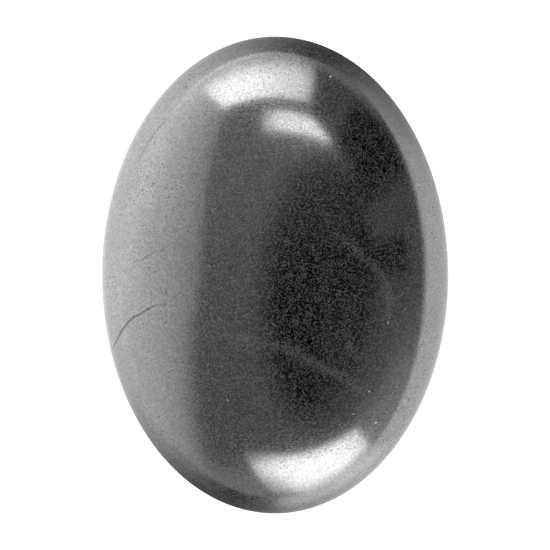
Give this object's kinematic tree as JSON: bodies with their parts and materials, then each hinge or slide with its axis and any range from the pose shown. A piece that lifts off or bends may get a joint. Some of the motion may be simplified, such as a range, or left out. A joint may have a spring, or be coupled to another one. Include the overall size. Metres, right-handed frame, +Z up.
{
  "type": "massage stone",
  "caption": "Oval polished dark stone for warm or cold massage, domed on both sides, with a small flat land underneath to rest on.",
  "frame": {"origin": "centre of the flat rest land under the stone", "axes": "+Z up through the crown, +Y along the long axis, +X across the stone"},
  "size_m": [0.0582, 0.08, 0.03],
  "materials": {
    "stone": "hand-polished dark stone with a metallic sheen, fine grain and hairline veins"
  },
  "bodies": {
    "root": {"stone": "stone"}
  },
  "joints": []
}
